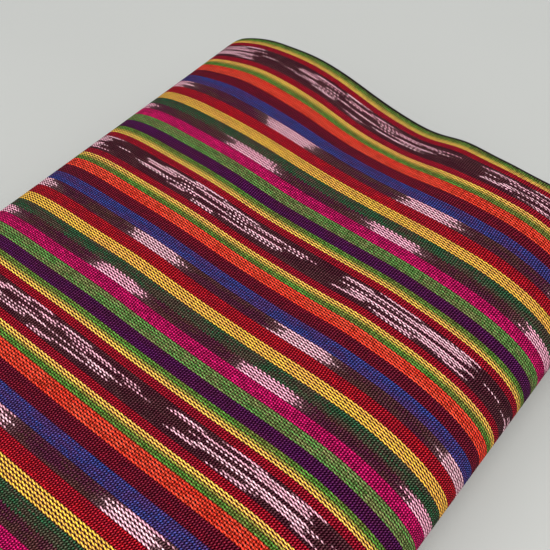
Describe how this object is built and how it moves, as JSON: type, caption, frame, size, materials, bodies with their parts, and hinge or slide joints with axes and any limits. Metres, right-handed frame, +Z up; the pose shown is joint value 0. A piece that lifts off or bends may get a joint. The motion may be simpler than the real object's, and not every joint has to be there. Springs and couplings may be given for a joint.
{
  "type": "ikat fabric",
  "caption": "Length of cotton cloth with warp stripes and ikat-dyed bands, folded in half again and again into a soft flat bundle with rounded ends, a wavy selvedge and hidden cut edges.",
  "frame": {"origin": "middle of the bundle's underside, on the surface that it lies on", "axes": "+X along the warp stripes, towards the big round fold; +Y across the stripes, towards the wavy selvedge; +Z up"},
  "size_m": [0.1284, 0.2038, 0.0351],
  "materials": {
    "striped_cotton": "matt plain-woven cotton in red, orange, yellow, green, blue, magenta and purple warp stripes, with pale feathered ikat bands on dark brown"
  },
  "bodies": {
    "root": {"cloth": "striped_cotton"}
  },
  "joints": []
}
